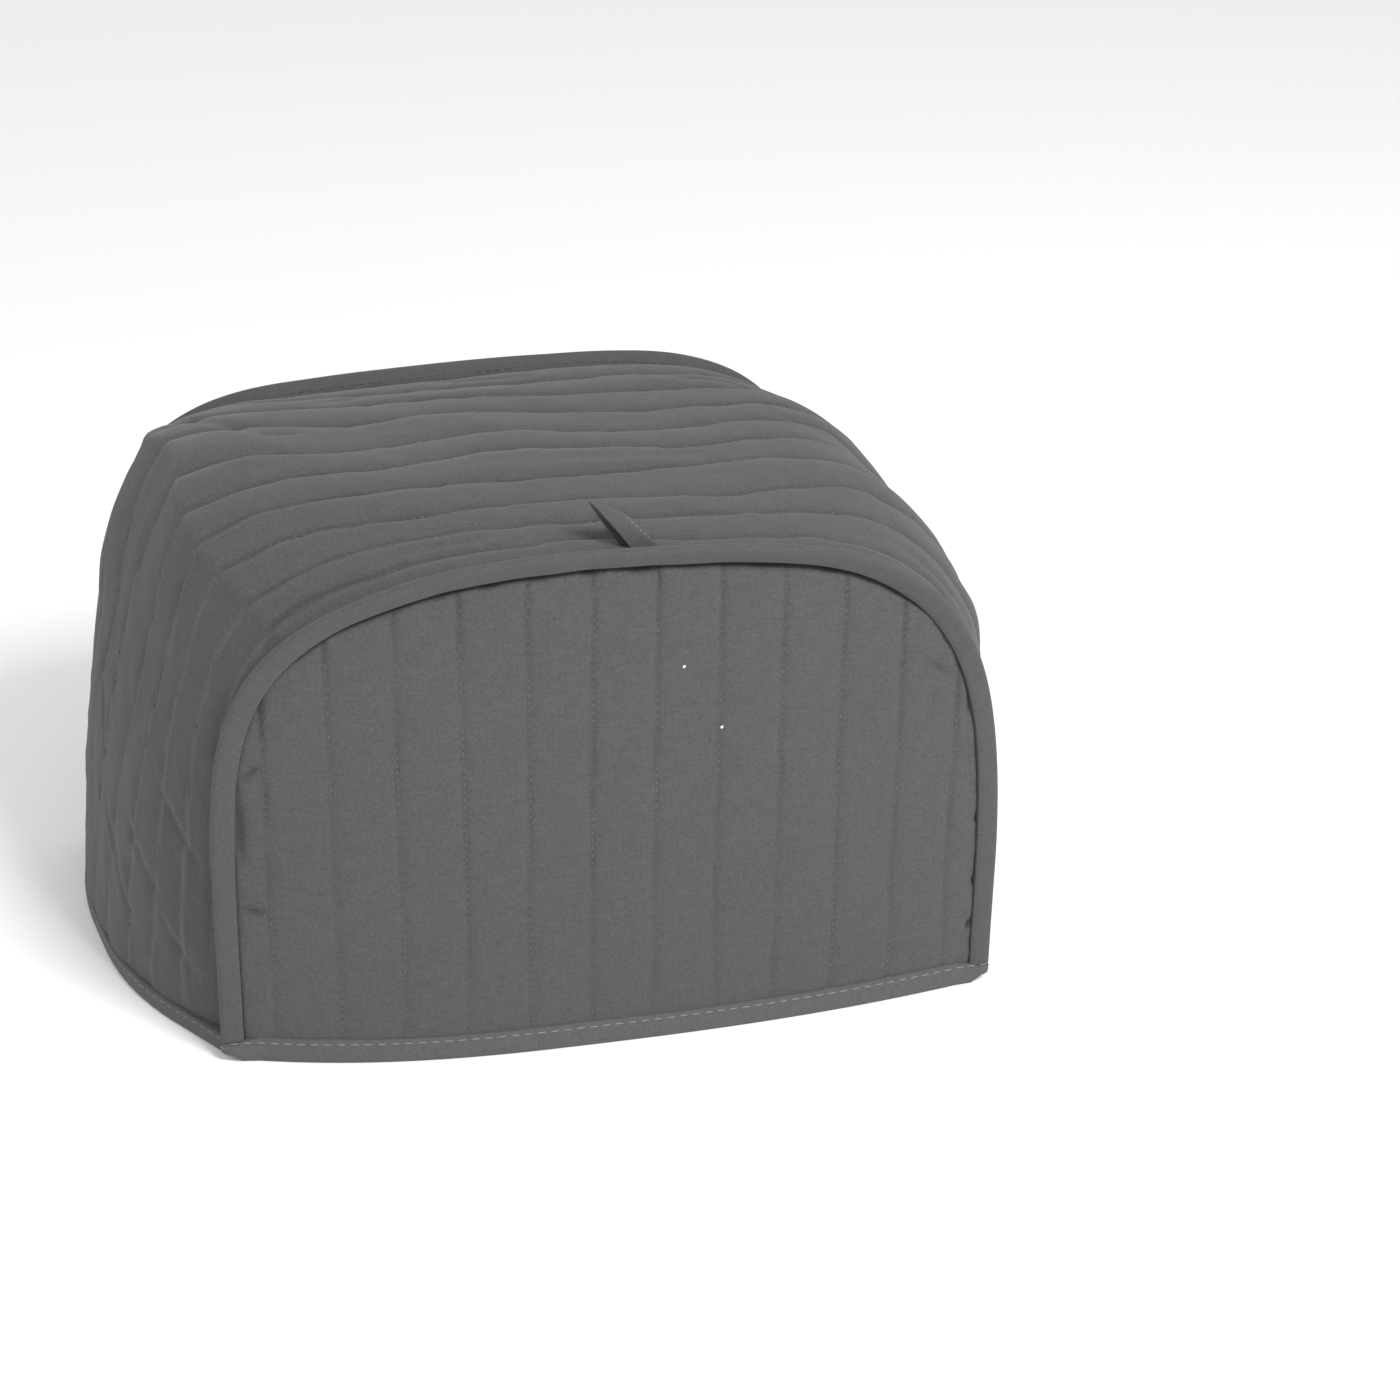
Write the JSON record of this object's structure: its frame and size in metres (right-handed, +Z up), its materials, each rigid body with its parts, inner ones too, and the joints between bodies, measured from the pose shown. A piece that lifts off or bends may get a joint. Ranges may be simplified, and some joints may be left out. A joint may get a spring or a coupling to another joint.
{
  "type": "quilted toaster cover",
  "caption": "Quilted cloth cover for a toaster, with arched front and back panels, a channelled gusset, taped seams and hem, and a small top loop; it is hollow and stands on its hem.",
  "frame": {"origin": "middle of the footprint's box, on the surface that the hem stands on", "axes": "+X to the right of the front panel, +Y from the front panel to the back panel, +Z up"},
  "size_m": [0.3598, 0.2248, 0.2192],
  "materials": {
    "quilted_cloth": "matt grey plain-weave cotton, channel quilted",
    "binding_tape": "matt grey woven tape with topstitching"
  },
  "bodies": {
    "root": {"front_panel": "quilted_cloth", "back_panel": "quilted_cloth", "gusset": "quilted_cloth", "front_binding": "binding_tape", "back_binding": "binding_tape", "hem_binding": "binding_tape", "loop": "binding_tape"}
  },
  "joints": []
}
